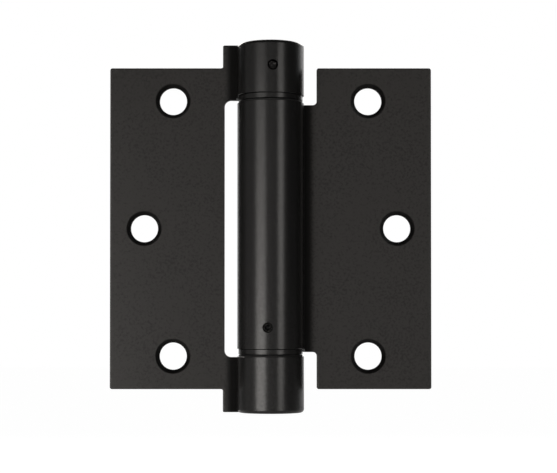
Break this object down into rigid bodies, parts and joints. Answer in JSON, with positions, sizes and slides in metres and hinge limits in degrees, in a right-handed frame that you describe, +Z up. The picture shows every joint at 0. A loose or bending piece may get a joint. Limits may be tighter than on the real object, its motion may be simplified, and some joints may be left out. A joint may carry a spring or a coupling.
{
  "type": "spring hinge",
  "caption": "Square-cornered self-closing door hinge: two countersunk leaves on a rolled barrel that houses a torsion spring, with an adjusting cylinder and its locking pin.",
  "frame": {"origin": "on the pin axis, halfway up the barrel, which is the middle of the hinge when it lies open", "axes": "+Z up along the pin axis, X across the two open leaves with the door leaf on +X, -Y towards the side that the barrel's face shows on, +Y towards the wood behind the leaves"},
  "size_m": [0.0888, 0.0184, 0.1016],
  "materials": {
    "black_coat": "satin warm-black coat on steel",
    "dark_pin_steel": "blackened steel, worn to grey at the ends",
    "black_nylon": "matt",
    "bush_bronze": "turned, oiled",
    "spring_steel": "drawn wire, oiled",
    "bare_steel": "ground"
  },
  "bodies": {
    "frame": {"frame_leaf": "black_coat", "flanged_bush": "black_coat", "tension_cylinder": "black_coat", "bottom_thrust_washer": "black_nylon", "bottom_bush": "bush_bronze"},
    "door": {"door_leaf": "black_coat", "top_thrust_washer": "black_nylon", "tube_bush": "bush_bronze", "torsion_spring": "spring_steel", "guide_rod": "bare_steel", "spring_anchor": "black_coat", "anchor_pin": "dark_pin_steel", "bottom_pintle": "black_coat"},
    "pin": {"tension_pin": "dark_pin_steel"}
  },
  "joints": [
    {"name": "door_swing", "type": "hinge", "parent": "frame", "child": "door", "pos_m": [0, 0, 0], "axis": [0, 0, -1], "range_deg": [0, 180], "stiffness_Nm_per_rad": 0.43, "deforming": ["torsion_spring"]},
    {"name": "tension_pin_pull", "type": "slide", "parent": "frame", "child": "pin", "axis": [0.0715, -0.9974, 0], "range_m": [0, 0.0042]}
  ]
}
